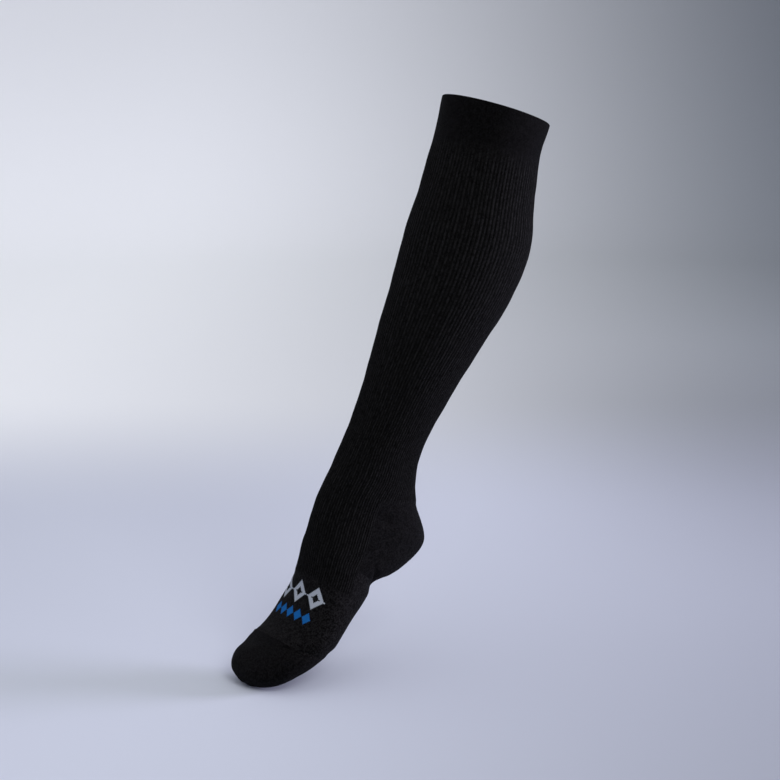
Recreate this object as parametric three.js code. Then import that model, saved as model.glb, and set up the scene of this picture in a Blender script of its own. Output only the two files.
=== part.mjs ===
// A knee-high compression stocking, filled out as if worn, in millimetres with +Z up.
// It is one seamless knitted tube: a plain top band, a ribbed leg, a plain heel pocket,
// a ribbed instep over a plain sole, a plain forefoot and a plain toe cap.
// The origin is the centre of the band's mouth. The leg lies in the plane X = 0,
// the toe points to -Y, and +X is the outer side of a left foot.
import * as THREE from "three";

// Driving dimensions of the knitted wall.
const WALL = 1.5;
const RIB_HEIGHT = 0.5;
const RIBS = 96;
const SEAM_GAP = 0.3;
const YARN = { color: 0x15151b, roughness: 0.85, metalness: 0 };

// How many ribs lie between two neighbouring points of a wall.
const SPACING = { ribbed: 0.5, plain: 1.5, inside: 4 };

// Driving dimensions of the toe cap, from its seam to its tip. Its middle line leans from
// straight down by an angle in degrees. The thinning is the share of its height that it
// loses on the way, before its end rounds off. Its rows turn from the seam's slant to
// square across the middle line, done at 1 / turning of the way, and the last row stops
// short of the tip by a part of a row.
const TOE = {
  length: 51,
  lean: 62,
  thinning: 0.3,
  turning: 1.6,
  widthPower: 2.4,
  heightPower: 3,
  rows: 6,
  stopShort: 0.3,
  bulge: 0.5,
};

// One row for each section, from the band's mouth to the toe seam. front and back are the
// wall's points in the plane X = 0, as [y, z]. width is measured along X and inward is how
// far the section's middle lies towards the inner side of the foot. sole is the power of
// the superellipse of the back half (2 is an ellipse, more is flatter), and instep is the
// angle from the front, in degrees, at which the ribbed instep ends.
const SECTIONS = [
  { name: "mouth", front: [-49.5, 17], back: [49.5, -17], width: 101, inward: 0, sole: 2, instep: 90 },
  { name: "band_end", front: [-56, -13], back: [39, -44], width: 101, inward: 0, sole: 2, instep: 90 },
  { name: "calf_top", front: [-72, -61], back: [31, -92], width: 106, inward: 0, sole: 2, instep: 90 },
  { name: "calf", front: [-87, -98], back: [27, -132], width: 112, inward: 0, sole: 2, instep: 90 },
  { name: "calf_end", front: [-102, -141], back: [7, -172], width: 108, inward: 0, sole: 2, instep: 90 },
  { name: "shank_top", front: [-121, -190], back: [-25, -215], width: 93, inward: 0, sole: 2, instep: 90 },
  { name: "shank", front: [-137, -231], back: [-56.3, -255], width: 78.5, inward: 0, sole: 2, instep: 90 },
  { name: "shank_end", front: [-152.4, -268], back: [-80.3, -290.3], width: 68.5, inward: 0, sole: 2, instep: 90 },
  { name: "ankle", front: [-164.3, -289.7], back: [-93.4, -315.4], width: 65, inward: 0, sole: 2, instep: 90 },
  { name: "ankle_low", front: [-178.8, -313.8], back: [-97.2, -340.3], width: 63.5, inward: 0, sole: 2, instep: 90 },
  { name: "heel_top", front: [-191.5, -334], back: [-94, -360], width: 63, inward: 0, sole: 2, instep: 82 },
  { name: "heel_back", front: [-201.8, -354], back: [-85.6, -396.5], width: 65, inward: 0, sole: 2.1, instep: 74 },
  { name: "heel_low", front: [-206.9, -371], back: [-115.8, -419.3], width: 67, inward: 0, sole: 2.2, instep: 80 },
  { name: "heel_front", front: [-209.9, -382], back: [-146, -427], width: 68, inward: 0, sole: 2.2, instep: 90 },
  { name: "arch", front: [-212.4, -396.5], back: [-155.5, -437], width: 71.5, inward: 0, sole: 2.2, instep: 90 },
  { name: "rib_end", front: [-215.8, -410], back: [-165, -446], width: 75.5, inward: 0, sole: 2.2, instep: 90 },
  { name: "forefoot", front: [-221.7, -428.3], back: [-180.2, -458.3], width: 85, inward: 1, sole: 2.2, instep: 90 },
  { name: "ball", front: [-237.6, -451.3], back: [-200.6, -477.6], width: 92, inward: 1, sole: 2.3, instep: 90 },
  { name: "toe_seam", front: [-252, -461], back: [-216, -487], width: 91, inward: 3, sole: 2.4, instep: 90 },
];

// The largest folds of the cloth, each a soft hollow round one point of it: at a row's
// name and a shift in rows, and at a rib number. rows and ribs are how far it reaches both
// ways, and depth is in millimetres.
const FOLDS = [
  { name: "toe seam, outer", at: "toe_seam", shift: -0.1, rib: 19, rows: 0.4, ribs: 6, depth: 2.2 },
  { name: "toe seam, inner", at: "toe_seam", shift: -0.1, rib: -19, rows: 0.4, ribs: 6, depth: 2 },
  { name: "flat over the toes", at: "toe_1", shift: 0, rib: -4, rows: 0.7, ribs: 18, depth: 1.5 },
  { name: "under the toes", at: "toe_2", shift: 0, rib: 42, rows: 1.2, ribs: 12, depth: 1.8 },
  { name: "bend of the ball, outer", at: "ball", shift: 0.25, rib: 31, rows: 0.3, ribs: 7, depth: 1.6 },
  { name: "bend of the ball, inner", at: "ball", shift: 0.15, rib: -31, rows: 0.3, ribs: 7, depth: 1.4 },
  { name: "heel front, outer", at: "heel_front", shift: 0.1, rib: 35, rows: 0.4, ribs: 8, depth: 1.6 },
  { name: "heel front, inner", at: "heel_front", shift: 0.1, rib: -35, rows: 0.4, ribs: 8, depth: 1.6 },
  { name: "heel gore, outer", at: "heel_back", shift: -0.5, rib: 26, rows: 0.4, ribs: 5, depth: 1.6 },
  { name: "heel gore, inner", at: "heel_back", shift: -0.5, rib: -26, rows: 0.4, ribs: 5, depth: 1.6 },
];

const radians = THREE.MathUtils.degToRad;
const between = (from, to, share) => from + (to - from) * share;

// The toe cap's own rows, set along its middle line from the toe seam on. Its width and
// its height round off along superellipses.
function toeRows(seam) {
  const middle = [0, 1].map((i) => (seam.front[i] + seam.back[i]) / 2);
  const upright = [0, 1].map((i) => (seam.front[i] - seam.back[i]) / 2);
  const height = Math.hypot(...upright);
  const lean = radians(TOE.lean);
  const ahead = [-Math.sin(lean), -Math.cos(lean)];
  const toeUp = [-Math.cos(lean), Math.sin(lean)];
  const closing = (share, power) => (1 - share ** power) ** (1 / power);
  return Array.from({ length: TOE.rows }, (_, k) => {
    const share = Math.sin(((k + 1) / (TOE.rows + TOE.stopShort)) * (Math.PI / 2));
    const turned = Math.min(1, share * TOE.turning);
    const up = [0, 1].map((i) => between(upright[i] / height, toeUp[i], turned));
    const thinned = height * (1 - TOE.thinning * share);
    const half = (thinned * closing(share, TOE.heightPower)) / Math.hypot(...up);
    const at = [0, 1].map((i) => middle[i] + ahead[i] * TOE.length * share);
    return {
      name: "toe_" + (k + 1),
      front: [at[0] + up[0] * half, at[1] + up[1] * half],
      back: [at[0] - up[0] * half, at[1] - up[1] * half],
      width: seam.width * closing(share, TOE.widthPower),
      inward: seam.inward * (1 + share),
      sole: seam.sole,
      instep: seam.instep,
    };
  });
}

const rows = [...SECTIONS, ...toeRows(SECTIONS.at(-1))];
const lastRow = rows.length - 1;
const rowNamed = (name) => rows.findIndex((row) => row.name === name);

// Smooth lines through the rows. A place along them is a row number, whole or not.
const LINE_TENSION = 0.5;
const lineThrough = (pick) => {
  const points = rows.map((row) => new THREE.Vector3(...pick(row)));
  const line = new THREE.CatmullRomCurve3(points, false, "catmullrom", LINE_TENSION);
  return (place) => line.getPoint(THREE.MathUtils.clamp(place / lastRow, 0, 1));
};
const frontAt = lineThrough((row) => [0, ...row.front]);
const backAt = lineThrough((row) => [0, ...row.back]);
const formAt = lineThrough((row) => [row.width, row.inward, row.sole]);
const instepAt = lineThrough((row) => [row.instep, 0, 0]);

// One section as a fine line that is walked by equal lengths of cloth, in two zones:
// the instep side, between its two edges, and the heel side.
const FINE_STEPS = 360;
const savedSections = new Map();
function sectionAt(place) {
  if (savedSections.has(place)) return savedSections.get(place);
  const front = frontAt(place);
  const back = backAt(place);
  const { x: width, y: inward, z: sole } = formAt(place);
  const middle = front.clone().add(back).multiplyScalar(0.5);
  const forward = front.clone().sub(back).multiplyScalar(0.5);
  const signedPower = (value, power) => Math.sign(value) * Math.abs(value) ** power;
  const pointAt = (angle) => {
    const power = 2 / (Math.cos(angle) < 0 ? sole : 2);
    const across = (width / 2) * signedPower(Math.sin(angle), power) - inward;
    const ahead = signedPower(Math.cos(angle), power);
    return new THREE.Vector3(across, 0, 0).add(middle).addScaledVector(forward, ahead);
  };
  const walk = (from, to) => {
    const points = [pointAt(from)];
    const lengths = [0];
    for (let i = 1; i <= FINE_STEPS; i++) {
      points.push(pointAt(between(from, to, i / FINE_STEPS)));
      lengths.push(lengths[i - 1] + points[i].distanceTo(points[i - 1]));
    }
    return (share) => {
      const wanted = share * lengths[FINE_STEPS];
      const found = lengths.findIndex((length) => length >= wanted);
      const i = THREE.MathUtils.clamp(found, 1, FINE_STEPS);
      const part = (wanted - lengths[i - 1]) / (lengths[i] - lengths[i - 1]);
      return points[i - 1].clone().lerp(points[i], part);
    };
  };
  const edge = radians(instepAt(place).x);
  const section = { instep: walk(-edge, edge), heel: walk(edge, 2 * Math.PI - edge) };
  savedSections.set(place, section);
  return section;
}

// The smooth cloth, without ribs or folds. Rib 0 is the middle of the front, RIBS / 4 the
// instep's outer edge, and RIBS / 2 the middle of the back.
function smoothPoint(place, rib) {
  const half = RIBS / 2;
  const turned = THREE.MathUtils.euclideanModulo(rib + half / 2, RIBS);
  const section = sectionAt(place);
  return turned <= half ? section.instep(turned / half) : section.heel(turned / half - 1);
}

const PLACE_STEP = 0.02;
const RIB_STEP = 0.25;
const around = (place) => [Math.max(place - PLACE_STEP, 0), Math.min(place + PLACE_STEP, lastRow)];
function smoothNormal(place, rib) {
  const [before, after] = around(place);
  const down = smoothPoint(after, rib).sub(smoothPoint(before, rib));
  const round = smoothPoint(place, rib + RIB_STEP).sub(smoothPoint(place, rib - RIB_STEP));
  return down.cross(round).normalize();
}

function foldDepth(place, rib) {
  const folded = FOLDS.map((fold) => {
    const alongLeg = (place - rowNamed(fold.at) - fold.shift) / fold.rows;
    const turned = THREE.MathUtils.euclideanModulo(rib - fold.rib + RIBS / 2, RIBS) - RIBS / 2;
    return fold.depth * Math.exp(-(alongLeg ** 2) - (turned / fold.ribs) ** 2);
  });
  return folded.reduce((sum, depth) => sum + depth, 0);
}

// A point of the wall, raised above the folded cloth or, on the inside, sunk under it.
const wallPoint = (place, rib, raised) =>
  smoothPoint(place, rib).addScaledVector(smoothNormal(place, rib), raised - foldDepth(place, rib));

// Half a seam's gap, as a part of the way from one row to the next.
function halfGapAt(place) {
  const [before, after] = around(place);
  const speed = (rib) => smoothPoint(after, rib).distanceTo(smoothPoint(before, rib)) / (after - before);
  return SEAM_GAP / (speed(0) + speed(RIBS / 2));
}

// Half a seam's gap beside the instep, as a part of a rib.
const HALF_GAP_RIBS = 0.06;
const ZONES = {
  round: { from: -RIBS / 4, to: (3 * RIBS) / 4, ribs: RIBS },
  instep: { from: -RIBS / 4 + HALF_GAP_RIBS, to: RIBS / 4 - HALF_GAP_RIBS, ribs: RIBS / 2 },
  heel: { from: RIBS / 4 + HALF_GAP_RIBS, to: (3 * RIBS) / 4 - HALF_GAP_RIBS, ribs: RIBS / 2 },
};

// The points and triangles of one closed wall.
class Wall {
  positions = [];
  indices = [];

  addPoint(point) {
    return this.positions.push(point.x, point.y, point.z) / 3 - 1;
  }

  addTriangle(a, b, c, turned) {
    this.indices.push(...(turned ? [a, c, b] : [a, b, c]));
  }

  // One side of the cloth: a grid of point numbers, line by line down the leg.
  addSide({ from, to, rings, zone, count, raisedAt }) {
    const grid = [];
    for (let i = 0; i <= rings; i++) {
      const place = between(from, to, i / rings);
      const line = [];
      for (let j = 0; j < (zone === ZONES.round ? count : count + 1); j++) {
        const rib = between(zone.from, zone.to, j / count);
        line.push(this.addPoint(wallPoint(place, rib, raisedAt(j))));
      }
      if (zone === ZONES.round) line.push(line[0]);
      grid.push(line);
    }
    return grid;
  }

  cover(grid, turned) {
    for (let i = 0; i < grid.length - 1; i++) {
      for (let j = 0; j < grid[i].length - 1; j++) {
        this.addTriangle(grid[i][j], grid[i + 1][j], grid[i + 1][j + 1], turned);
        this.addTriangle(grid[i][j], grid[i + 1][j + 1], grid[i][j + 1], turned);
      }
    }
  }

  // Joins two edge lines that run the same way, with equal or other numbers of points.
  joinEdges(a, b, turned) {
    const steps = { a: a.length - 1, b: b.length - 1 };
    let i = 0;
    let j = 0;
    while (i < steps.a || j < steps.b) {
      const stepsOnA = j === steps.b || (i < steps.a && (i + 1) * steps.b <= (j + 1) * steps.a);
      if (stepsOnA) this.addTriangle(a[i], a[i + 1], b[j], turned);
      else this.addTriangle(a[i], b[j + 1], b[j], turned);
      i += stepsOnA ? 1 : 0;
      j += stepsOnA ? 0 : 1;
    }
  }

  // Closes the toe with a fan to a point just ahead of its last ring.
  closeTip(ring, turned) {
    const lean = radians(TOE.lean);
    const tip = new THREE.Vector3();
    ring.slice(1).forEach((n) => tip.add(new THREE.Vector3().fromArray(this.positions, n * 3)));
    tip.divideScalar(ring.length - 1);
    tip.addScaledVector(new THREE.Vector3(0, -Math.sin(lean), -Math.cos(lean)), TOE.bulge);
    const middle = this.addPoint(tip);
    for (let j = 0; j < ring.length - 1; j++) this.addTriangle(ring[j], middle, ring[j + 1], turned);
  }
}

// A named piece of the stocking, from one row to another. Without a last row it is closed
// at the toe's tip.
function piece(name, { from, to, rings, zone = ZONES.round, ribbed = false }) {
  const start = rowNamed(from);
  const span = {
    from: start === 0 ? 0 : start + halfGapAt(start),
    to: to ? rowNamed(to) - halfGapAt(rowNamed(to)) : lastRow,
    rings,
    zone,
  };
  const wall = new Wall();
  const outer = wall.addSide({
    ...span,
    count: zone.ribs / (ribbed ? SPACING.ribbed : SPACING.plain),
    raisedAt: (j) => (ribbed && j % 2 ? RIB_HEIGHT : 0),
  });
  const inner = wall.addSide({ ...span, count: zone.ribs / SPACING.inside, raisedAt: () => -WALL });
  wall.cover(outer, false);
  wall.cover(inner, true);
  wall.joinEdges(outer[0], inner[0], false);
  if (to) {
    wall.joinEdges(outer.at(-1), inner.at(-1), true);
  } else {
    wall.closeTip(outer.at(-1), false);
    wall.closeTip(inner.at(-1), true);
  }
  if (zone !== ZONES.round) {
    const edge = (grid, place) => grid.map((line) => line.at(place));
    wall.joinEdges(edge(outer, 0), edge(inner, 0), true);
    wall.joinEdges(edge(outer, -1), edge(inner, -1), false);
  }
  const geometry = new THREE.BufferGeometry();
  geometry.setAttribute("position", new THREE.Float32BufferAttribute(wall.positions, 3));
  geometry.setIndex(wall.indices);
  geometry.computeVertexNormals();
  const mesh = new THREE.Mesh(geometry, new THREE.MeshStandardMaterial(YARN));
  mesh.name = name;
  return mesh;
}

// The instep, the heel pocket and the sole have three rings to a row, so that the edges
// where they meet run side by side.
const stocking = new THREE.Group();
stocking.name = "compression_stocking";
stocking.add(
  piece("top_band", { from: "mouth", to: "band_end", rings: 2 }),
  piece("calf_tube", { from: "band_end", to: "calf_end", rings: 5, ribbed: true }),
  piece("shank_tube", { from: "calf_end", to: "shank_end", rings: 5, ribbed: true }),
  piece("ankle_tube", { from: "shank_end", to: "heel_top", rings: 5, ribbed: true }),
  piece("heel_pocket", { from: "heel_top", to: "heel_front", rings: 9, zone: ZONES.heel }),
  piece("instep_panel", { from: "heel_top", to: "rib_end", rings: 15, zone: ZONES.instep, ribbed: true }),
  piece("sole_panel", { from: "heel_front", to: "rib_end", rings: 6, zone: ZONES.heel }),
  piece("forefoot_tube", { from: "rib_end", to: "toe_seam", rings: 12 }),
  piece("toe_cap", { from: "toe_seam", rings: 12 }),
);

export default stocking;
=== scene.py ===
# %% [markdown]
# A knee-high compression stocking, filled out as if worn
#
# The real stocking is knitted round on a small circular machine, so it is one tube with
# no cut panels. The parts that show are the stretches where the knit changes: a plain
# doubled band, a ribbed leg, a plain heel pocket, a ribbed instep over a plain sole, a
# plain forefoot, and a plain toe cap that is linked on along a seam. This lesson knits
# each stretch as its own thin shell, all cut from one grid of points, so that they meet
# edge to edge.

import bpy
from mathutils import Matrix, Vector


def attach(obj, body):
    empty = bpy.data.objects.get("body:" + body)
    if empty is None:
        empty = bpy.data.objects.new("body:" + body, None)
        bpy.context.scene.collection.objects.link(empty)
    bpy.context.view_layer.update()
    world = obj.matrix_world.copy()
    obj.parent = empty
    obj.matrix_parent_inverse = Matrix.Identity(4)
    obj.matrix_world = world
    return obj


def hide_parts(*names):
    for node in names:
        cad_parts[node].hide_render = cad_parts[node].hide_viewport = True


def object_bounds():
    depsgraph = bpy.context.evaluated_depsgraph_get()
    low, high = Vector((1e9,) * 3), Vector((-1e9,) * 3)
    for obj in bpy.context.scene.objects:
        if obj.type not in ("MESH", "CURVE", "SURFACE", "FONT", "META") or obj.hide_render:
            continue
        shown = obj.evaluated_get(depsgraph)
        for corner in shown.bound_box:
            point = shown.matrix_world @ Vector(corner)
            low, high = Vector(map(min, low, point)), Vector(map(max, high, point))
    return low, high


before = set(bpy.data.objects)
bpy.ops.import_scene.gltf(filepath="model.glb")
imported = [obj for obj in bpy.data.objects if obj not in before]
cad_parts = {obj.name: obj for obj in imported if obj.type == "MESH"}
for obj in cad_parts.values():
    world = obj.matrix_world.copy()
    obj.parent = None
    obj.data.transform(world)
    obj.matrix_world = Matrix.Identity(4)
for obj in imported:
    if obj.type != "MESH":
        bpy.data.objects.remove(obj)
cad_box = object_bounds()
print("the frame's pieces:", sorted(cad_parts))

# %% Tools and units
from collections import namedtuple

import bpy
import numpy as np
from mathutils import Vector

MM = 0.001
print("cloth is worked out in millimetres and made in metres, 1 mm =", MM)

# %% [markdown]
# The camera comes first. The stocking was photographed from its outer front side, a
# little from above, with a long lens that keeps the foot from looking large. A point to
# look at and a tracking rotation say this more plainly than three angles do.

# %% Camera
EYE = Vector((1586.5, -1230.2, 162.4)) * MM
LOOKS_AT = Vector((0, -119.3, -249.3)) * MM
LENS_MM = 99.4

camera_data = bpy.data.cameras.new("camera")
camera_data.lens = LENS_MM
camera = bpy.data.objects.new("camera", camera_data)
camera.location = EYE
camera.rotation_euler = (LOOKS_AT - EYE).to_track_quat("-Z", "Y").to_euler()
bpy.context.scene.collection.objects.link(camera)
bpy.context.scene.camera = camera
print("the camera stands", round((LOOKS_AT - EYE).length, 3), "m away")

# %% [markdown]
# The stocking's form is a row of sections down the leg, as on a last-maker's chart. Each
# row gives the point at the front and at the back in the leg's middle plane, as (y, z),
# and the width across. The foot's rows may also lean a little to the inner side, in
# millimetres. Sole is the power of the curve of the back half, where 2 is an ellipse and
# more is flatter. Instep is the angle from the front, in degrees, at which the rib ends.

# %% Sections of the leg and the foot, in millimetres
Row = namedtuple("Row", "name front back width inward sole instep", defaults=(0, 2.0, 90))

SECTIONS = [
    Row("mouth", (-49.5, 17), (49.5, -17), 101),
    Row("band_end", (-56, -13), (39, -44), 101),
    Row("calf_top", (-72, -61), (31, -92), 106),
    Row("calf", (-87, -98), (27, -132), 112),
    Row("calf_end", (-102, -141), (7, -172), 108),
    Row("shank_top", (-121, -190), (-25, -215), 93),
    Row("shank", (-137, -231), (-56.3, -255), 78.5),
    Row("shank_end", (-152.4, -268), (-80.3, -290.3), 68.5),
    Row("ankle", (-164.3, -289.7), (-93.4, -315.4), 65),
    Row("ankle_low", (-178.8, -313.8), (-97.2, -340.3), 63.5),
    Row("heel_top", (-191.5, -334), (-94, -360), 63, instep=82),
    Row("heel_back", (-201.8, -354), (-85.6, -396.5), 65, sole=2.1, instep=74),
    Row("heel_low", (-206.9, -371), (-115.8, -419.3), 67, sole=2.2, instep=80),
    Row("heel_front", (-209.9, -382), (-146, -427), 68, sole=2.2),
    Row("arch", (-212.4, -396.5), (-155.5, -437), 71.5, sole=2.2),
    Row("rib_end", (-215.8, -410), (-165, -446), 75.5, sole=2.2),
    Row("forefoot", (-221.7, -428.3), (-180.2, -458.3), 85, inward=1, sole=2.2),
    Row("ball", (-237.6, -451.3), (-200.6, -477.6), 92, inward=1, sole=2.3),
    Row("toe_seam", (-252, -461), (-216, -487), 91, inward=3, sole=2.4),
]
print(len(SECTIONS), "sections from the band's mouth to the toe seam")

# %% [markdown]
# The toe cap needs no chart of its own. From the seam on, its width and height round off
# along superellipses, and its sections turn from the seam's slant until they stand
# square across the toe.

# %% The toe cap's sections
TOE_LENGTH = 51
TOE_LEAN = np.radians(62)
TOE_THINNING = 0.3
TOE_TURNING = 1.6
TOE_WIDTH_POWER = 2.4
TOE_HEIGHT_POWER = 3
TOE_ROWS = 6
TOE_STOP_SHORT = 0.3
TOE_AHEAD = np.array([-np.sin(TOE_LEAN), -np.cos(TOE_LEAN)])
TOE_UP = np.array([-np.cos(TOE_LEAN), np.sin(TOE_LEAN)])


def toe_row(number, seam):
    front = np.array(seam.front)
    back = np.array(seam.back)
    height = np.linalg.norm(front - back) / 2
    share = np.sin(number / (TOE_ROWS + TOE_STOP_SHORT) * np.pi / 2)
    turned = min(1, share * TOE_TURNING)
    up = (1 - turned) * (front - back) / 2 / height + turned * TOE_UP
    half = height * (1 - TOE_THINNING * share) * (1 - share**TOE_HEIGHT_POWER) ** (1 / TOE_HEIGHT_POWER)
    middle = (front + back) / 2 + TOE_AHEAD * TOE_LENGTH * share
    reach = up / np.linalg.norm(up) * half
    width = seam.width * (1 - share**TOE_WIDTH_POWER) ** (1 / TOE_WIDTH_POWER)
    return Row(
        f"toe_{number}", middle + reach, middle - reach, width, seam.inward * (1 + share), seam.sole
    )


rows = SECTIONS + [toe_row(number, SECTIONS[-1]) for number in range(1, TOE_ROWS + 1)]
place_of = {row.name: place for place, row in enumerate(rows)}
print(len(rows), "sections with the toe's")

# %% [markdown]
# Smooth lines through the rows fill in what lies between them. A place is a row number,
# whole or not, so place 2.5 is half way from the top of the calf to its fullest part.

# %% Smooth lines through the rows
LINE_TENSION = 0.5


def line_through(values):
    values = np.array(values, float)
    ends = np.vstack([2 * values[0] - values[1], values, 2 * values[-1] - values[-2]])

    def at(place):
        row = int(min(max(place, 0), len(values) - 1.001))
        t = min(max(place - row, 0), 1)
        before, start, end, after = ends[row : row + 4]
        slope_in = LINE_TENSION * (end - before)
        slope_out = LINE_TENSION * (after - start)
        square = 3 * (end - start) - 2 * slope_in - slope_out
        cube = 2 * (start - end) + slope_in + slope_out
        return start + slope_in * t + square * t**2 + cube * t**3

    return at


front_at = line_through([row.front for row in rows])
back_at = line_through([row.back for row in rows])
form_at = line_through([(row.width, row.inward, row.sole, row.instep) for row in rows])
print("the calf's middle at place 2.5:", (front_at(2.5) + back_at(2.5)) / 2)

# %% [markdown]
# The machine has a fixed number of needles, so each ring of the stocking has the same
# number of ribs, and they spread or crowd together as the leg's girth changes. Ribs are
# therefore set out by equal lengths of cloth round each section. Rib 0 is the middle of
# the front, rib 24 the outer edge of the instep, and rib 48 the middle of the back.

# %% One ring of smooth cloth
RIBS = 96
INSTEP_EDGE = RIBS // 4
POINTS_PER_RIB = 6
COLUMNS = RIBS * POINTS_PER_RIB
FINE_STEPS = 360
ribs = -INSTEP_EDGE + np.arange(COLUMNS) / POINTS_PER_RIB


def signed_power(value, power):
    return np.sign(value) * np.abs(value) ** power


def section_points(place, angles):
    front = front_at(place)
    back = back_at(place)
    width, inward, sole, _ = form_at(place)
    power = 2 / np.where(np.cos(angles) < 0, sole, 2)
    ahead = signed_power(np.cos(angles), power)[:, None]
    across = width / 2 * signed_power(np.sin(angles), power) - inward
    return np.column_stack([across, (front + back) / 2 + (front - back) / 2 * ahead])


def ring_at(place):
    edge = np.radians(form_at(place)[3])
    ring = np.empty((COLUMNS, 3))
    for first_rib, start, stop in ((-INSTEP_EDGE, -edge, edge), (INSTEP_EDGE, edge, 2 * np.pi - edge)):
        fine = section_points(place, np.linspace(start, stop, FINE_STEPS + 1))
        steps = np.linalg.norm(np.diff(fine, axis=0), axis=1)
        lengths = np.concatenate([[0], np.cumsum(steps)])
        here = (ribs >= first_rib) & (ribs < first_rib + RIBS / 2)
        wanted = (ribs[here] - first_rib) / (RIBS / 2) * lengths[-1]
        ring[here] = np.column_stack([np.interp(wanted, lengths, fine[:, k]) for k in range(3)])
    return ring


calf_ring = ring_at(place_of["calf"])
calf_girth = np.linalg.norm(calf_ring - np.roll(calf_ring, 1, axis=0), axis=1).sum()
print("girth of the calf:", round(calf_girth), "mm")

# %% [markdown]
# All the stretches are cut from one grid, which has a ring at each change of knit. Where
# a fold or a seam needs it, the rings lie closer together.

# %% The grid of smooth cloth
Stretch = namedtuple("Stretch", "start stop rings")
STRETCHES = [
    Stretch("mouth", "band_end", 20),
    Stretch("band_end", "calf_end", 52),
    Stretch("calf_end", "shank_end", 46),
    Stretch("shank_end", "heel_top", 30),
    Stretch("heel_top", "heel_front", 44),
    Stretch("heel_front", "rib_end", 22),
    Stretch("rib_end", "toe_seam", 48),
]
TOE_RINGS = 44

places = []
line_of = {}
for stretch in STRETCHES:
    line_of[stretch.start] = len(places)
    steps = np.arange(stretch.rings) / stretch.rings
    places.extend(place_of[stretch.start] + steps * (place_of[stretch.stop] - place_of[stretch.start]))
line_of["toe_seam"] = len(places)
places.extend(np.linspace(place_of["toe_seam"], len(rows) - 1, TOE_RINGS + 1))
line_of["tip"] = len(places) - 1
places = np.array(places)
smooth = np.array([ring_at(place) for place in places])
print("grid of", smooth.shape[0], "rings with", smooth.shape[1], "points each")

# %% Which way is out, and how far down the leg
down = np.gradient(smooth, axis=0)
round_ahead = np.roll(smooth, -1, axis=1) - np.roll(smooth, 1, axis=1)
outward = np.cross(down, round_ahead)
outward /= np.linalg.norm(outward, axis=2, keepdims=True)
ring_steps = np.linalg.norm(np.diff(smooth, axis=0), axis=2).mean(axis=1)
reach = np.concatenate([[0], np.cumsum(ring_steps)])
reach_of = {name: reach[line] for name, line in line_of.items()}
print("from the mouth to the toe's tip:", round(reach[-1]), "mm of cloth")

# %% [markdown]
# The cloth is smooth where the leg fills it, and creased where it has room: at the ends
# of the toe seam, under the ball of the foot, in front of the heel, and at the heel's
# gores. Each crease is placed as a soft trough round one point, or a ridge where its
# depth is below zero, and most have a similar one on the hidden inner side. A slant
# turns it by that many ribs for each row.

# %% Folds
Fold = namedtuple("Fold", "at shift rib rows ribs depth slant", defaults=(0,))
FOLDS = [
    Fold("toe_seam", -0.1, 19, 0.4, 6, 2.2),
    Fold("toe_seam", -0.1, -19, 0.4, 6, 2.0),
    Fold("toe_seam", -0.25, 25, 0.12, 4.5, 0.8),
    Fold("toe_seam", -0.22, -25, 0.12, 4.5, 0.7),
    Fold("toe_seam", -0.05, -9, 0.35, 14, -1.6),
    Fold("toe_1", 0.3, -9, 1.0, 16, 3.4),
    Fold("toe_2", 0, 42, 1.2, 12, 1.8),
    Fold("ball", 0.25, 31, 0.3, 7, 1.6),
    Fold("ball", 0.15, -31, 0.3, 7, 1.4),
    Fold("heel_front", 0.1, 35, 0.4, 8, 1.6),
    Fold("heel_front", 0.1, -35, 0.4, 8, 1.6),
    Fold("heel_front", -0.3, 33, 0.4, 1.6, 1.8, slant=10),
    Fold("heel_front", -0.25, -33, 0.4, 1.6, 1.7, slant=-10),
    Fold("heel_front", -0.6, 37, 0.14, 7, -0.6),
    Fold("heel_front", -0.55, -37, 0.14, 7, -0.6),
    Fold("heel_low", 0.4, 45, 0.45, 11, 1.0),
    Fold("heel_back", -0.5, 26, 0.4, 5, 1.6),
    Fold("heel_back", -0.5, -26, 0.4, 5, 1.6),
    Fold("heel_back", -0.4, 27, 0.16, 2.5, 1.2),
    Fold("heel_back", -0.35, -27, 0.16, 2.5, 1.1),
    Fold("heel_back", 0.1, 29, 0.12, 3.5, 0.7),
    Fold("heel_back", 0.15, -29, 0.12, 3.5, 0.7),
]


def ribs_from(rib):
    return (ribs - rib + RIBS / 2) % RIBS - RIBS / 2


def fold_depth(fold):
    along = (places - place_of[fold.at] - fold.shift) / fold.rows
    around = (ribs_from(fold.rib) - fold.slant * fold.rows * along[:, None]) / fold.ribs
    return fold.depth * np.exp(-(along[:, None] ** 2) - around**2)


folded = sum(fold_depth(fold) for fold in FOLDS)
print("deepest fold:", round(folded.max(), 2), "mm")

# %% [markdown]
# In the ribs, every second wale of stitches stands up and its neighbour sinks between,
# which looks like thin cords side by side. The ribs run from the band to the heel all
# round, and on over the instep. They fade in slowly under the band and fade out over a
# few millimetres where the plain knit takes over.

# %% Ribs
RIB_HEIGHT = 0.6
BAND_RIB_FADE = 28
RIB_FADE = 5.0
EDGE_FADE_RIBS = 1.0
UNEVEN_RIB = 0.12


def fade(distance, width):
    share = np.clip(distance / width, 0, 1)
    return share**2 * (3 - 2 * share)


def ribbed_part():
    below_band = fade(reach - reach_of["band_end"], BAND_RIB_FADE)
    above_heel = fade(reach_of["heel_top"] - reach, RIB_FADE)
    above_forefoot = fade(reach_of["rib_end"] - reach, RIB_FADE)
    on_instep = fade(INSTEP_EDGE - np.abs(ribs_from(0)), EDGE_FADE_RIBS)
    leg = np.repeat(above_heel[:, None], COLUMNS, axis=1)
    instep = above_forefoot[:, None] * on_instep[None, :]
    return below_band[:, None] * np.maximum(leg, instep)


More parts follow.
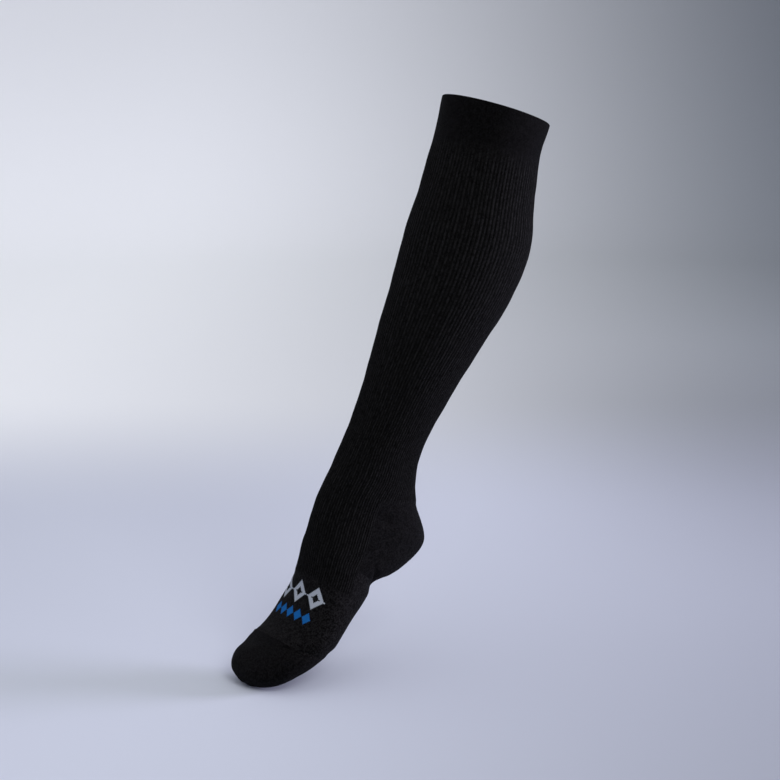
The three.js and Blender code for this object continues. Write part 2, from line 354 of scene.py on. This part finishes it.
crest = np.abs(np.sin(np.pi * ribs))
every_second = 1 + UNEVEN_RIB * np.sign(np.sin(np.pi * ribs))
ribbing = RIB_HEIGHT * ribbed_part() * crest * every_second
print("ribs stand up to", round(ribbing.max(), 2), "mm proud")

# %% [markdown]
# The band is knitted double and turned over at the mouth, so it is a little proud. The toe
# cap is linked to the forefoot by a row of loops that stands up as a thin ridge, with a
# narrow trough above it.

# %% Band and toe seam
BAND_SWELL = 0.2
BAND_SHOULDER = 6.0
SEAM_RIDGE = 0.4
SEAM_RIDGE_WIDTH = 0.8
SEAM_TROUGH = 0.5
SEAM_TROUGH_WIDTH = 1.3
SEAM_TROUGH_AHEAD = 1.9
SEAM_RIBS = 25
SEAM_END_RIBS = 4


def bell(distance, width):
    return np.exp(-((distance / width) ** 2))


band_swell = BAND_SWELL * fade(reach_of["band_end"] - reach, BAND_SHOULDER)
on_seam = fade(SEAM_RIBS - np.abs(ribs_from(0)), SEAM_END_RIBS)
ridge = SEAM_RIDGE * bell(reach - reach_of["toe_seam"], SEAM_RIDGE_WIDTH)
trough = SEAM_TROUGH * bell(reach - reach_of["toe_seam"] + SEAM_TROUGH_AHEAD, SEAM_TROUGH_WIDTH)
linked = (ridge - trough)[:, None] * on_seam[None, :]
print("the toe seam stands up", SEAM_RIDGE, "mm, above a trough of", SEAM_TROUGH, "mm")

# %% [markdown]
# Worn cloth is never quite even. Three long, low waves that run round and down the leg
# take away the look of a turned tube, and are too low to read as creases.

# %% A slight unevenness, as soft cloth has
Wave = namedtuple("Wave", "length turns start size")
WAVES = [Wave(90, 3, 0.3, 0.22), Wave(47, 5, 1.7, 0.14), Wave(23, 8, 4.1, 0.08)]


def wave_height(wave):
    down_leg = 2 * np.pi * reach[:, None] / wave.length
    round_leg = wave.turns * 2 * np.pi * ribs[None, :] / RIBS
    return wave.size * np.sin(down_leg + round_leg + wave.start)


uneven = sum(wave_height(wave) for wave in WAVES)
relief = ribbing + band_swell[:, None] + linked + uneven - folded
print("relief from", round(relief.min(), 2), "to", round(relief.max(), 2), "mm")

# %% [markdown]
# The cloth is about a millimetre thick, and twice that in the doubled band. The inside
# follows the outside, ribs and all, as it does in a real rib knit.

# %% Outer and inner faces of the cloth
THICKNESS = 1.0
BAND_THICKNESS = 2.0
thickness = np.where(places < place_of["band_end"], BAND_THICKNESS, THICKNESS)
thickness = thickness[:, None, None]
outer = smooth + outward * relief[:, :, None]
inner = smooth + outward * (relief[:, :, None] - thickness)
print("the cloth is", THICKNESS, "mm thick, the band", BAND_THICKNESS, "mm")

# %% [markdown]
# Stitches have their own coordinates: wales, counted round the leg, and courses, counted
# down it. Two wales make one rib. A map called knit holds them for each corner of a
# face, so that the count can wrap round the tube. In the heel pocket the courses turn:
# those of its upper half lie along the ankle, those of its lower half along the sole,
# and they meet in the slanted gore.

# %% Wales and courses
WALES_PER_RIB = 2
COURSE = 1.25
wale_of_column = WALES_PER_RIB * (-INSTEP_EDGE + np.arange(COLUMNS + 1) / POINTS_PER_RIB) + 0.5
course_of_ring = reach / COURSE
print("courses down the leg:", round(course_of_ring[-1]))


def plane_distance(line):
    ring = smooth[line]
    middle = ring.mean(axis=0)
    across = ring[COLUMNS // 4] - middle
    other = ring[COLUMNS // 2] - middle
    normal = np.cross(across, other)
    normal /= np.linalg.norm(normal)
    return (smooth - middle) @ normal


from_ankle = np.abs(plane_distance(line_of["heel_top"])) / COURSE
from_sole = np.abs(plane_distance(line_of["heel_front"])) / COURSE

# %% [markdown]
# A piece is a patch of the grid as a closed shell: the outer face, the inner face, and
# the narrow edges between them. The whole rings close on themselves, the others end at
# the sides of the instep. A second map lays the same faces out flat with no overlaps,
# outer face below and inner face above, for baking.

# %% A closed shell of quads
QUAD = ((0, 0), (1, 0), (1, 1), (0, 1))
TRIANGLE = ((0, 0), (1, 0), (0, 1))


class Shell:
    """The points, faces and map corners of one piece."""

    def __init__(self):
        self.points = []
        self.faces = []
        self.rounded = []
        self.maps = {"OFBake": [], "knit": []}
        self.count = 0

    def add_points(self, points):
        first = self.count
        self.points.append(points.reshape(-1, 3))
        self.count += points.reshape(-1, 3).shape[0]
        return np.arange(first, self.count).reshape(points.shape[:-1])

    def add_grid(self, numbers, knit, flat, inward=False, rounded=True, corners=QUAD):
        """Faces over a grid of point numbers, with a knit and a flat coordinate at each point.

        A face that isn't rounded keeps sharp edges, so it doesn't tilt the shading next to it."""
        high, wide = numbers.shape[0] - 1, numbers.shape[1] - 1
        order = corners[::-1] if inward else corners

        def at_corners(values):
            return np.stack([values[r : r + high, c : c + wide] for r, c in order], axis=2)

        self.faces.append(at_corners(numbers).reshape(-1, len(order)))
        self.rounded.append(np.full(high * wide, rounded))
        self.maps["knit"].append(at_corners(knit).reshape(-1, 2))
        self.maps["OFBake"].append(at_corners(flat).reshape(-1, 2))

    def as_object(self, name):
        mesh = bpy.data.meshes.new(name)
        points = np.concatenate(self.points) * MM
        corners = np.concatenate([faces.ravel() for faces in self.faces])
        sizes = np.concatenate([np.full(len(faces), faces.shape[1]) for faces in self.faces])
        mesh.vertices.add(len(points))
        mesh.vertices.foreach_set("co", points.ravel())
        mesh.loops.add(len(corners))
        mesh.loops.foreach_set("vertex_index", corners)
        mesh.polygons.add(len(sizes))
        mesh.polygons.foreach_set("loop_start", np.cumsum(sizes) - sizes)
        mesh.polygons.foreach_set("use_smooth", np.concatenate(self.rounded))
        for layer, values in self.maps.items():
            mesh.uv_layers.new(name=layer).data.foreach_set("uv", np.concatenate(values).ravel())
        mesh.update(calc_edges=True)
        edge_of_corner = np.empty(len(corners), dtype=np.int32)
        mesh.loops.foreach_get("edge_index", edge_of_corner)
        sharp = np.zeros(len(mesh.edges), dtype=bool)
        sharp[edge_of_corner[np.repeat(~np.concatenate(self.rounded), sizes)]] = True
        mesh.attributes.new("sharp_edge", "BOOLEAN", "EDGE").data.foreach_set("value", sharp)
        piece = bpy.data.objects.new(name, mesh)
        bpy.context.scene.collection.objects.link(piece)
        return piece


print("the shell maker is ready")

# %% [markdown]
# Wales count on from 0 at the middle of the front. In the toe cap they keep their width
# while the rings narrow, so its upper and lower halves are counted from their own
# middles, and lose wales where they meet at the sides, as a turned toe does.

# %% A patch's wales and courses
HALF = COLUMNS // 2
girths = np.linalg.norm(smooth - np.roll(smooth, 1, axis=1), axis=2).sum(axis=1)
narrowing = np.minimum(1, girths / girths[line_of["toe_seam"]])


def knit_of(lines, columns, kind):
    """The wale and the course at each point of a patch."""
    part = slice(lines[0], lines[1] + 1)
    wales = np.repeat(wale_of_column[None, columns[0] : columns[1] + 1], lines[1] + 1 - lines[0], axis=0)
    courses = np.repeat(course_of_ring[part, None], wales.shape[1], axis=1)
    if kind == "heel":
        wrapped = np.arange(columns[0], columns[1] + 1) % COLUMNS
        upper = from_ankle[part][:, wrapped]
        lower = from_sole[part][:, wrapped]
        courses = np.where(upper < lower, courses[:1] + upper, courses[-1:] - lower)
    if kind == "toe":
        middle = (wales[0, 0] + wales[0, -1]) / 2
        wales = middle + (wales - middle) * narrowing[part, None]
    return np.stack([wales, courses], axis=2)


print("wales run from", wale_of_column[0], "to", wale_of_column[-1])

# %% Rounded ends
ROUNDING_STEPS = 6
TIP_BULGE = 1.6


def rounded_edge(line, own):
    """The lines of the half-round turned edge between the inner and the outer face."""
    middle = (outer[line][own] + inner[line][own]) / 2
    half = (outer[line][own] - inner[line][own]) / 2
    upward = smooth[line][own] - smooth[line + 1][own]
    upward *= np.linalg.norm(half, axis=1, keepdims=True) / np.linalg.norm(upward, axis=1, keepdims=True)
    angles = np.pi * np.arange(1, ROUNDING_STEPS) / ROUNDING_STEPS
    return np.array([middle - half * np.cos(angle) + upward * np.sin(angle) for angle in angles])


def rounded_tip(ring, bulge):
    """The lines that round off the toe ahead of its last ring, and the tip's own point."""
    middle = ring.mean(axis=0)
    ahead = np.array([0, *TOE_AHEAD]) * bulge
    angles = np.pi / 2 * np.arange(1, ROUNDING_STEPS) / ROUNDING_STEPS
    lines = [middle + (ring - middle) * np.cos(angle) + ahead * np.sin(angle) for angle in angles]
    return np.array(lines), middle + ahead


print("the toe's tip is rounded by", TIP_BULGE, "mm")

# %% The maker of pieces
ZONES = {
    "round": [(0, COLUMNS)],
    "toe": [(0, HALF), (HALF, COLUMNS)],
    "instep": [(0, HALF)],
    "heel": [(HALF, COLUMNS)],
}
FLAT = {
    "outer": (0.0, 0.44),
    "outer tip": (0.45, 0.46),
    "start": (0.47, 0.48),
    "left": (0.485, 0.49),
    "right": (0.495, 0.5),
    "stop": (0.51, 0.52),
    "inner tip": (0.54, 0.55),
    "inner": (0.56, 1.0),
}


def flat_map(shape, name):
    along = np.linspace(*FLAT[name], shape[0])
    return np.stack(np.meshgrid(np.linspace(0, 1, shape[1]), along), axis=2)


def make_piece(name, start, stop, zone="round", kind="", turned_edge=False, closed=False):
    """One stretch of the stocking as a closed shell of thin cloth."""
    lines = (line_of[start], line_of[stop])
    part = slice(lines[0], lines[1] + 1)
    patches = ZONES[zone]
    first, last = patches[0][0], patches[-1][1]
    whole = last - first == COLUMNS
    own = np.arange(first, last + (not whole)) % COLUMNS
    shell = Shell()

    def number(points):
        numbers = shell.add_points(points)
        return np.concatenate([numbers, numbers[:, :1]], axis=1) if whole else numbers

    def lay(numbers, flat_name, rows=slice(None), **kind_of_face):
        flat = flat_map(numbers.shape, flat_name)
        for from_column, to_column in patches:
            own_part = slice(from_column - first, to_column - first + 1)
            knit = knit_of(lines, (from_column, to_column), kind)
            if closed:
                courses = np.arange(1, ROUNDING_STEPS + 1)[:, None, None] * np.array([0, 1])
                knit = np.concatenate([knit, knit[-1:] + courses])
            shell.add_grid(numbers[:, own_part], knit[rows], flat[:, own_part], **kind_of_face)

    faces = {}
    for side, surface in (("outer", outer), ("inner", inner)):
        points = surface[part][:, own]
        if closed:
            bulge = TIP_BULGE - (THICKNESS if side == "inner" else 0)
            rounding, tip = rounded_tip(points[-1], bulge)
            points = np.concatenate([points, rounding])
        faces[side] = number(points)
        count = len(points)
        lay(faces[side], side, rows=slice(0, count), inward=side == "inner")
        if closed:
            tip_number = shell.add_points(tip[None, :])[0]
            fan = np.stack([faces[side][-1], np.full(last - first + 1, tip_number)])
            lay(fan, f"{side} tip", rows=[count - 1, count], inward=side == "inner", corners=TRIANGLE)

    out, into = faces["outer"], faces["inner"]
    rim = [into[:1], out[:1]]
    if turned_edge:
        rim.insert(1, number(rounded_edge(lines[0], own)))
    rim = np.concatenate(rim)
    lay(rim, "start", rows=[0] * len(rim), rounded=turned_edge)
    if not closed:
        lay(np.stack([out[-1], into[-1]]), "stop", rows=[-1, -1], rounded=False)
    if not whole:
        knit = knit_of(lines, patches[0], kind)
        for side, column, pair in (("left", 0, (into, out)), ("right", -1, (out, into))):
            edge = np.stack([numbers[:, column] for numbers in pair], axis=1)
            edge_knit = np.stack([knit[:, column]] * 2, axis=1)
            shell.add_grid(edge, edge_knit, flat_map(edge.shape, side), rounded=False)
    return shell.as_object(name)


print("zones of the grid, in columns:", ZONES)

# %% [markdown]
# ## Materials
#
# A shader is arithmetic on coordinates. A small class lets sums over node outputs be
# written as sums, and one method makes any other node.

# %% Arithmetic on node outputs
class Value:
    """One output of a shader node, which can be added, multiplied and compared."""

    def __init__(self, tree, socket):
        self.tree = tree
        self.socket = socket

    def maths(self, operation, *others):
        return node(self.tree, "Math", dict(enumerate((self, *others))), operation=operation)

    def output(self, name):
        return Value(self.tree, self.socket.node.outputs[name])

    def __add__(self, other):
        return self.maths("ADD", other)

    def __sub__(self, other):
        return self.maths("SUBTRACT", other)

    def __rsub__(self, other):
        return (self * -1) + other

    def __mul__(self, other):
        return self.maths("MULTIPLY", other)

    __radd__ = __add__
    __rmul__ = __mul__


def node(tree, kind, inputs=None, output=0, **settings):
    """Makes a shader node, sets or links its inputs, and gives one of its outputs."""
    made = tree.nodes.new("ShaderNode" + kind)
    for name, value in settings.items():
        setattr(made, name, value)
    for name, value in (inputs or {}).items():
        if isinstance(value, Value):
            tree.links.new(value.socket, made.inputs[name])
        else:
            made.inputs[name].default_value = value
    return Value(tree, made.outputs[output])


def blend(tree, factor, first, second):
    """Mixes two colours."""
    inputs = {"Factor": factor, 6: first, 7: second}
    return node(tree, "Mix", inputs, output=2, data_type="RGBA")


print("node arithmetic is ready")

# %% [markdown]
# Each knit stitch is a V of two leaning strands, so each wale is a cord of Vs, light
# along its strands and dark in between; that dark is painted shade. In the rib every second
# wale lies in the valley and gets little light, and that shade is painted too. The cloth is
# near black; what shows is the strands' soft sheen, partly painted into their colour.

# %% The stitches
SLANT = 1.6
STRAND_DIP = 0.35


def stitches(tree):
    """How much each strand stands up, a random number for each stitch, and the rib's crest.

    The crest is 0 in the valleys, and 1 and -1 by turns along the ribs."""
    knit = node(tree, "UVMap", uv_map="knit")
    apart = node(tree, "SeparateXYZ", {0: knit})
    wale, course = apart.output("X"), apart.output("Y")
    side = (wale.maths("FRACT") - 0.5).maths("ABSOLUTE")
    leg = 1 - ((side - 0.25) * 4).maths("POWER", 2)
    phase = (course - side * SLANT) * (2 * np.pi)
    loop = phase.maths("COSINE") * 0.5 + 0.5
    strand = leg.maths("MAXIMUM", 0) * (loop * (1 - STRAND_DIP) + STRAND_DIP)
    cell = node(tree, "CombineXYZ", {0: wale.maths("FLOOR"), 1: course.maths("FLOOR")})
    chance = node(tree, "TexWhiteNoise", {"Vector": cell}, noise_dimensions="2D")
    crest = ((wale - 0.5) * (np.pi / 2)).maths("SINE")
    return wale, course, strand, chance, crest


def fibre_noise(tree, size, detail=2):
    """Soft noise of about that grain in millimetres, fixed to the stocking."""
    place = node(tree, "TexCoord", output="Object")
    inputs = {"Vector": place, "Scale": 1 / (size * MM), "Detail": detail, "Roughness": 0.6}
    return node(tree, "TexNoise", inputs)


print("stitch coordinates are ready")

# %% [markdown]
# The forefoot carries a small knitted-in pattern: a row of light hollow lozenges and a
# row of small blue ones under it. It is drawn stitch by stitch, as a machine draws it.

# %% The knitted-in pattern
Motif = namedtuple("Motif", "colour course wales courses pitch count hollow")
MOTIFS = [
    Motif((0.56, 0.61, 0.68, 1), 11, 9, 8, 20, 3, 0.45),
    Motif((0.013, 0.16, 0.5, 1), 27, 4, 4, 10, 5, -1),
]


def on_motif(motif, wale, course):
    """1 on the stitches of one row of lozenges, and 0 off them."""
    across = wale.maths("FLOOR")
    down_it = course.maths("FLOOR") - round(course_of_ring[line_of["rib_end"]] + motif.course)
    shift = 0.5 * motif.pitch if motif.count % 2 else 0
    repeat = (across + shift).maths("FLOORED_MODULO", motif.pitch) - motif.pitch / 2
    away = repeat.maths("ABSOLUTE") * (1 / motif.wales) + down_it.maths("ABSOLUTE") * (1 / motif.courses)
    in_row = across.maths("ABSOLUTE").maths("LESS_THAN", motif.pitch * motif.count / 2)
    return away.maths("LESS_THAN", 1.01) * away.maths("GREATER_THAN", motif.hollow) * in_row


print(len(MOTIFS), "rows of lozenges")

# %% [markdown]
# Four tones of knit come out of one material maker. Each has a dark, which is painted
# shade between its strands, a light on them, and a speckle that says how uneven it looks.
# The band's tone is the darkest. The forefoot takes the sole's lighter tone as painted
# light, though it is plain knit like the toe cap. The ribbed leg starts in the band's tone
# and ends in the sole's, as the knit changes over a few courses.

# %% The knit materials
BLACK = (0, 0, 0, 1)
Yarn = namedtuple("Yarn", "dark light speckle")
RIB_YARN = Yarn((0.0008, 0.0008, 0.0008, 1), (0.0206, 0.0200, 0.0203, 1), 3.0)
PLAIN_YARN = Yarn((0.0008, 0.0008, 0.0008, 1), (0.0113, 0.0109, 0.0113, 1), 7.0)
# a lighter tone of the plain knit, for the sole, and as painted light for the forefoot
SOLE_YARN = Yarn((0.0010, 0.0010, 0.0010, 1), (0.0182, 0.0175, 0.0182, 1), 7.0)
BAND_YARN = Yarn((0.0008, 0.0008, 0.0008, 1), (0.0073, 0.0070, 0.0073, 1), 5.0)
GRAIN = 1.6
STREAK_WALES = 0.5
STREAK_COURSES = 0.22
STREAK_SHARE = 1.2
CHANCE_SHARE = 0.5
MIDDLE_TONE = 0.8
LOWEST_TONE = 0.05
MOTIF_SHADE = 0.6
STITCH_HEIGHT = 0.3
GRAIN_HEIGHT = 0.3
ROUGHNESS = 0.75
ROUGHNESS_SPREAD = 0.2
CREST_SHARPNESS = 1.6
# painted shade: how much darker the rib's valleys are painted, where little light falls
PAINTED_VALLEY_SHADE = 0.75
EVERY_SECOND = 0.12
SHEEN = 0.01
SHEEN_ROUGHNESS = 0.35
SHEEN_TINT = (0.8, 0.78, 1, 1)
SPECULAR = 0.03


def over_courses(tree, course, start, stop):
    """0 at the course of one ring and 1 at another's, soft at both ends."""
    inputs = {"Value": course, "From Min": start / COURSE, "From Max": stop / COURSE}
    return node(tree, "MapRange", inputs, interpolation_type="SMOOTHSTEP")


def streaks(tree, wale, course):
    """Soft noise that runs along the wales."""
    across = wale.maths("FLOOR") * STREAK_WALES
    stretched = node(tree, "CombineXYZ", {0: across, 1: course * STREAK_COURSES})
    inputs = {"Vector": stretched, "Scale": 1.0, "Detail": 1.0}
    return node(tree, "TexNoise", inputs, noise_dimensions="2D")


def knit_material(name, yarn, ribbed, motifs=()):
    """Near-black knit of one yarn, with or without ribs and knitted-in rows."""
    material = bpy.data.materials.new(name)
    material.use_nodes = True
    tree = material.node_tree
    surface = tree.nodes["Principled BSDF"]
    wale, course, strand, chance, crest = stitches(tree)
    grain = fibre_noise(tree, GRAIN)
    streak = streaks(tree, wale, course)
    lively = (chance - 0.5) * CHANCE_SHARE + (grain - 0.5) * yarn.speckle
    lively = lively + (streak - 0.5) * STREAK_SHARE + MIDDLE_TONE
    # painted shade between the strands, where the tone falls to the yarn's dark; on the strands the
    # light is the yarn's own colour with painted sheen
    tone = strand * lively.maths("MAXIMUM", LOWEST_TONE)
    light = yarn.light
    if ribbed:
        band_end = reach_of["band_end"]
        under_band = over_courses(tree, course, band_end, band_end + BAND_RIB_FADE)
        above_end = over_courses(tree, course, reach_of["rib_end"], reach_of["rib_end"] - RIB_FADE)
        # painted shade in the rib's valleys, fading out under the band and at the ribs' end
        painted_valley_shade = (1 - crest.maths("ABSOLUTE").maths("POWER", CREST_SHARPNESS)) * PAINTED_VALLEY_SHADE
        tone = tone * (1 - painted_valley_shade * under_band * above_end) * (crest * EVERY_SECOND + 1)
        towards_sole = blend(tree, above_end, SOLE_YARN.light, yarn.light)
        light = blend(tree, under_band, BAND_YARN.light, towards_sole)
    colour = blend(tree, tone.maths("MINIMUM", 1), yarn.dark, light)
    for motif in motifs:
        # painted shade between the strands of the lozenges, weaker than the knit's
        lit = strand * (1 - MOTIF_SHADE) + MOTIF_SHADE
        dyed = blend(tree, lit, BLACK, motif.colour)
        colour = blend(tree, on_motif(motif, wale, course), colour, dyed)
    height = strand + grain * GRAIN_HEIGHT
    bump = node(tree, "Bump", {"Height": height, "Distance": STITCH_HEIGHT * MM, "Strength": 1.0})
    roughness = grain * ROUGHNESS_SPREAD + ROUGHNESS
    for socket, value in (("Base Color", colour), ("Roughness", roughness), ("Normal", bump)):
        tree.links.new(value.socket, surface.inputs[socket])
    surface.inputs["Specular IOR Level"].default_value = SPECULAR
    surface.inputs["Sheen Weight"].default_value = SHEEN
    surface.inputs["Sheen Roughness"].default_value = SHEEN_ROUGHNESS
    surface.inputs["Sheen Tint"].default_value = SHEEN_TINT
    return material


rib_knit = knit_material("rib_knit", RIB_YARN, ribbed=True)
plain_knit = knit_material("plain_knit", PLAIN_YARN, ribbed=False)
band_knit = knit_material("band_knit", BAND_YARN, ribbed=False)
sole_knit = knit_material("sole_knit", SOLE_YARN, ribbed=False)
# painted light: the forefoot is plain knit like the toe cap, but takes the sole's lighter tone
motif_knit = knit_material("motif_knit", SOLE_YARN, ribbed=False, motifs=MOTIFS)
print("materials:", [material.name for material in bpy.data.materials])

# %% [markdown]
# ## The pieces
#
# Each piece stands for one solid of the model, and its cloth's size as worn is printed:
# its girth or width, and its length down the leg.

# %% Making the pieces
Part = namedtuple("Part", "node start stop material options")
PARTS = [
    Part("top_band", "mouth", "band_end", band_knit, {"turned_edge": True}),
    Part("calf_tube", "band_end", "calf_end", rib_knit, {}),
    Part("shank_tube", "calf_end", "shank_end", rib_knit, {}),
    Part("ankle_tube", "shank_end", "heel_top", rib_knit, {}),
    Part("heel_pocket", "heel_top", "heel_front", plain_knit, {"zone": "heel", "kind": "heel"}),
    Part("instep_panel", "heel_top", "rib_end", rib_knit, {"zone": "instep"}),
    Part("sole_panel", "heel_front", "rib_end", sole_knit, {"zone": "heel"}),
    Part("forefoot_tube", "rib_end", "toe_seam", motif_knit, {}),
    Part("toe_cap", "toe_seam", "tip", plain_knit, {"zone": "toe", "kind": "toe", "closed": True}),
]


def worn_size(part):
    """Mean width round the leg and mean length down it, in metres."""
    grid = smooth[line_of[part.start] : line_of[part.stop] + 1]
    if "zone" in part.options and part.options["zone"] != "toe":
        first, last = ZONES[part.options["zone"]][0]
        grid = grid[:, np.arange(first, last + 1) % COLUMNS]
    else:
        grid = np.concatenate([grid, grid[:, :1]], axis=1)
    width = np.linalg.norm(np.diff(grid, axis=1), axis=2).sum(axis=1).mean()
    length = np.linalg.norm(np.diff(grid, axis=0), axis=2).sum(axis=0).mean()
    return (round(width * MM, 3), round(length * MM, 3))


for part in PARTS:
    piece = make_piece(f"{part.node}_cloth", part.start, part.stop, **part.options)
    piece.data.materials.append(part.material)
    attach(piece, "root")
    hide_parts(part.node)
    worn_size(part)
    print(part.node, worn_size(part), "m,", len(piece.data.polygons), "faces")

# %% [markdown]
# ## The stage
#
# A plain studio sweep: a pale floor that curves up far away. Light and shade are painted
# on it: brighter to the left of the picture and darker to the right, painted shade far away
# on the right and higher up the wall, and a little painted glow on the wall.

# %% Floor and sweep
FLOOR_DROP = 0.0003
FLOOR_RADIUS = 2.5
SWEEP_RADIUS = 0.8
WALL_TOP = 1.7
SWEEP_STEPS = 12
RIM_POINTS = 96

floor_height = cad_box[0][2] - FLOOR_DROP
profile = [(0.0, 0.0), (0.6, 0.0), (1.4, 0.0), (FLOOR_RADIUS, 0.0)]
for step in range(1, SWEEP_STEPS + 1):
    turn = np.pi / 2 * step / SWEEP_STEPS
    profile.append((FLOOR_RADIUS + SWEEP_RADIUS * np.sin(turn), SWEEP_RADIUS * (1 - np.cos(turn))))
profile.append((FLOOR_RADIUS + SWEEP_RADIUS, WALL_TOP))
turns = np.linspace(0, 2 * np.pi, RIM_POINTS, endpoint=False)
vertices = [
    (radius * np.cos(turn), radius * np.sin(turn), height + floor_height)
    for radius, height in profile[1:]
    for turn in turns
]
vertices.append((0, 0, floor_height))
quads = [
    (
        ring * RIM_POINTS + step,
        ring * RIM_POINTS + (step + 1) % RIM_POINTS,
        (ring + 1) * RIM_POINTS + (step + 1) % RIM_POINTS,
        (ring + 1) * RIM_POINTS + step,
    )
    for ring in range(len(profile) - 2)
    for step in range(RIM_POINTS)
]
middle_fan = [(len(vertices) - 1, (step + 1) % RIM_POINTS, step) for step in range(RIM_POINTS)]
sweep_mesh = bpy.data.meshes.new("sweep")
sweep_mesh.from_pydata(vertices, [], quads + middle_fan)
for polygon in sweep_mesh.polygons:
    polygon.use_smooth = True
sweep = bpy.data.objects.new("sweep", sweep_mesh)
bpy.context.scene.collection.objects.link(sweep)
print("floor at", round(floor_height, 4), "m")

# %% The sweep's painted light and shade
WALL_RIGHTWARDS = (0.656, 0.762, 0.0)
FLOOR_RIGHTWARDS = (0.861, 0.618, 0.0)
PICTURE_RIGHTWARDS = (0.574, 0.819, 0.0)
PICTURE_AWAY = (-0.819, 0.574, 0.0)
UP = (0.0, 0.0, 1.0)
# painted light: the sweep is painted brighter to the left and darker to the right, as a pool of light
# falls on it
WALL_LEFT = (0.77, 0.79, 0.82, 1)
WALL_RIGHT = (0.165, 0.183, 0.212, 1)
FLOOR_LEFT = (0.66, 0.70, 0.80, 1)
FLOOR_RIGHT = (0.29, 0.31, 0.36, 1)
WALL_SPAN = (-0.95, 0.78)
WALL_DUSK_SPAN = (-0.55, 0.1)
WALL_DUSK = 0.18
FLOOR_SPAN = (-0.35, 0.6)
WALL_STARTS = (0.4, 1.1)
WALL_GLOW = 0.3
FAR_DUSK = 0.25
FAR_DUSK_STARTS = (0.0, 0.7)
FAR_DUSK_ENDS = (0.7, 1.6)
FAR_DUSK_SPAN = (-0.1, 0.42)

sweep_material = bpy.data.materials.new("sweep")
sweep_material.use_nodes = True
tree = sweep_material.node_tree
place = node(tree, "NewGeometry", output="Position")


def along(direction, span):
    """0 to 1 over a span of metres along a direction."""
    dot = node(tree, "VectorMath", {0: place, 1: direction}, output="Value", operation="DOT_PRODUCT")
    inputs = {"Value": dot, "From Min": span[0], "From Max": span[1]}
    return node(tree, "MapRange", inputs, interpolation_type="SMOOTHSTEP")


# painted shade far away on the right, on floor and wall alike
far = along(PICTURE_AWAY, FAR_DUSK_STARTS) * (1 - along(PICTURE_AWAY, FAR_DUSK_ENDS))
far_dusk = far * along(PICTURE_RIGHTWARDS, FAR_DUSK_SPAN) * FAR_DUSK
lower_wall = blend(tree, along(WALL_RIGHTWARDS, WALL_SPAN), WALL_LEFT, WALL_RIGHT)
# painted shade higher up the wall
upper_wall = blend(tree, along(UP, WALL_DUSK_SPAN) * WALL_DUSK, lower_wall, BLACK)
wall_colour = blend(tree, far_dusk, upper_wall, BLACK)
even_floor = blend(tree, along(FLOOR_RIGHTWARDS, FLOOR_SPAN), FLOOR_LEFT, FLOOR_RIGHT)
floor_colour = blend(tree, far_dusk, even_floor, BLACK)
is_wall = along(PICTURE_AWAY, WALL_STARTS)
sweep_colour = blend(tree, is_wall, floor_colour, wall_colour)
# painted light: the wall glows a little, though it is no lamp
glow = blend(tree, is_wall, BLACK, wall_colour)
sweep_surface = tree.nodes["Principled BSDF"]
tree.links.new(sweep_colour.socket, sweep_surface.inputs["Base Color"])
tree.links.new(glow.socket, sweep_surface.inputs["Emission Color"])
sweep_surface.inputs["Emission Strength"].default_value = WALL_GLOW
sweep_surface.inputs["Roughness"].default_value = 0.9
sweep_surface.inputs["Specular IOR Level"].default_value = 0.0
sweep_mesh.materials.append(sweep_material)
print("the sweep goes from", FLOOR_LEFT[:3], "to", FLOOR_RIGHT[:3])

# %% [markdown]
# ## Light
#
# Soft light from all round, and a large soft key from the right and behind, which lights
# the back of the leg and leaves the front middle darkest. A weaker lamp stands in front.

# %% Lights
WORLD_STRENGTH = 0.65
WORLD_COLOUR = (0.98, 0.98, 1.0, 1)
Lamp = namedtuple("Lamp", "name place aim size watts colour")
LAMPS = [
    Lamp("key", (1.0, 1.7, 0.0), (0, -0.15, -0.25), 0.9, 42, (0.95, 0.9, 1.15)),
    Lamp("front", (1.5, -0.4, 0.8), (0, -0.15, -0.25), 0.9, 10, (1, 1, 1)),
]

world = bpy.data.worlds.new("studio")
world.use_nodes = True
world.node_tree.nodes["Background"].inputs["Color"].default_value = WORLD_COLOUR
world.node_tree.nodes["Background"].inputs["Strength"].default_value = WORLD_STRENGTH
bpy.context.scene.world = world
for lamp in LAMPS:
    light = bpy.data.lights.new(lamp.name, "AREA")
    light.shape = "DISK"
    light.size = lamp.size
    light.energy = lamp.watts
    light.color = lamp.colour
    holder = bpy.data.objects.new(lamp.name, light)
    holder.location = lamp.place
    holder.visible_camera = False
    holder.rotation_euler = (Vector(lamp.aim) - Vector(lamp.place)).to_track_quat("-Z", "Y").to_euler()
    bpy.context.scene.collection.objects.link(holder)
bpy.context.scene.view_settings.view_transform = "Standard"
print(len(LAMPS), "lamps and a soft sky")
